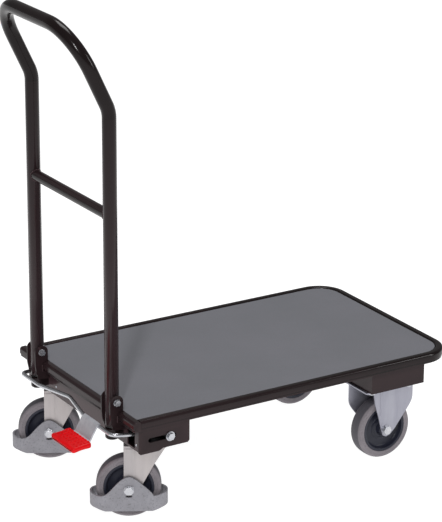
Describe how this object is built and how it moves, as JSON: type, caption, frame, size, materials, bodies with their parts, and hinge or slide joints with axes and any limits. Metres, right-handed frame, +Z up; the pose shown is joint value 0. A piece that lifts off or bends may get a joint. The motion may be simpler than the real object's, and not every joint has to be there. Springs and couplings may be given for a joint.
{
  "type": "folding platform cart",
  "caption": "Flat platform cart with a fold-down loop handle locked by a spring-loaded foot-pedal bail, guarded swivel casters under the handle and fixed casters in front.",
  "frame": {"origin": "On the floor, under the middle of the whole cart's bounding box in length and width.", "axes": "+X forward along the deck, away from the handle; +Y to the left; +Z up."},
  "size_m": [0.8286, 0.4556, 0.9762],
  "materials": {
    "powder_coat": "fine-texture semi-gloss anthracite powder coat",
    "board": "matt grey laminate",
    "zinc": "bright zinc plate",
    "fork_steel": "dull zinc plate on pressed sheet",
    "black_steel": "satin black",
    "spring_steel": "zinc plate",
    "tyre_rubber": "matt grey rubber",
    "wheel_plastic": "satin blue-black moulding",
    "guard_plastic": "matt grey moulding",
    "plug_plastic": "black moulding",
    "pedal_plastic": "bright red moulding with a gripped top"
  },
  "bodies": {
    "chassis": {"deck_rim": "powder_coat", "end_rail": "powder_coat", "deck_board": "board", "board_screws": "zinc", "rear_channel": "powder_coat", "front_channel": "powder_coat", "front_plate_bolts": "zinc", "bail_springs": "spring_steel", "slotted_cheek_left": "powder_coat", "slotted_cheek_right": "powder_coat", "hinge_bracket_left": "powder_coat", "hinge_bracket_right": "powder_coat", "hinge_bolt_left": "zinc", "hinge_bolt_right": "zinc", "swivel_head_left": "black_steel", "swivel_head_right": "black_steel", "kingpin_left": "zinc", "kingpin_right": "zinc", "fixed_fork_left": "fork_steel", "fixed_fork_right": "fork_steel", "front_axle_bolt_left": "zinc", "front_axle_bolt_right": "zinc"},
    "handle": {"handle_tube": "powder_coat", "handle_crossbar": "powder_coat", "pivot_bush_left": "zinc", "pivot_bush_right": "zinc", "post_plug_left": "plug_plastic", "post_plug_right": "plug_plastic"},
    "bail_slider": {"slide_bolts": "zinc"},
    "bail": {"bail_rod": "zinc", "pedal_plate": "zinc", "pedal_pad": "pedal_plastic", "pedal_rivets": "zinc", "bail_eye_left": "zinc", "bail_eye_right": "zinc"},
    "rear_swivel_left": {"swivel_fork_left": "fork_steel", "foot_guard_left": "guard_plastic", "rear_axle_bolt_left": "zinc"},
    "rear_wheel_left": {"rear_tyre_left": "tyre_rubber", "rear_wheel_centre_left": "wheel_plastic", "rear_hub_tube_left": "zinc"},
    "front_wheel_left": {"front_tyre_left": "tyre_rubber", "front_wheel_centre_left": "wheel_plastic", "front_hub_tube_left": "zinc"},
    "rear_swivel_right": {"swivel_fork_right": "fork_steel", "foot_guard_right": "guard_plastic", "rear_axle_bolt_right": "zinc"},
    "rear_wheel_right": {"rear_tyre_right": "tyre_rubber", "rear_wheel_centre_right": "wheel_plastic", "rear_hub_tube_right": "zinc"},
    "front_wheel_right": {"front_tyre_right": "tyre_rubber", "front_wheel_centre_right": "wheel_plastic", "front_hub_tube_right": "zinc"}
  },
  "joints": [
    {"name": "handle_fold", "type": "hinge", "parent": "chassis", "child": "handle", "pos_m": [-0.32732, 0, 0.2463], "axis": [0, 1, 0], "range_deg": [0, 90]},
    {"name": "bail_slide", "type": "slide", "parent": "chassis", "child": "bail_slider", "axis": [-1, 0, 0], "range_m": [0, 0.042], "stiffness_N_per_m": 3000, "springref_m": -0.03, "deforming": ["bail_springs"]},
    {"name": "pedal_press", "type": "hinge", "parent": "bail_slider", "child": "bail", "pos_m": [-0.24271, 0, 0.18], "axis": [0, -1, 0], "range_deg": [0, 13], "stiffness_Nm_per_rad": 8, "springref_deg": -17.19, "deforming": ["bail_springs"]},
    {"name": "rear_swivel_left", "type": "hinge", "parent": "chassis", "child": "rear_swivel_left", "pos_m": [-0.25871, 0.1595, 0], "axis": [0, 0, 1], "continuous": true},
    {"name": "rear_axle_left", "type": "hinge", "parent": "rear_swivel_left", "child": "rear_wheel_left", "pos_m": [-0.2888, 0.17638, 0.0625], "axis": [0.4894, 0.8721, 0], "continuous": true},
    {"name": "rear_swivel_right", "type": "hinge", "parent": "chassis", "child": "rear_swivel_right", "pos_m": [-0.25871, -0.1595, 0], "axis": [0, 0, 1], "continuous": true},
    {"name": "rear_axle_right", "type": "hinge", "parent": "rear_swivel_right", "child": "rear_wheel_right", "pos_m": [-0.2888, -0.14262, 0.0625], "axis": [0.4894, 0.8721, 0], "continuous": true},
    {"name": "front_axle_left", "type": "hinge", "parent": "chassis", "child": "front_wheel_left", "pos_m": [0.28129, 0.161, 0.0625], "axis": [0, 1, 0], "continuous": true},
    {"name": "front_axle_right", "type": "hinge", "parent": "chassis", "child": "front_wheel_right", "pos_m": [0.28129, -0.161, 0.0625], "axis": [0, 1, 0], "continuous": true}
  ]
}
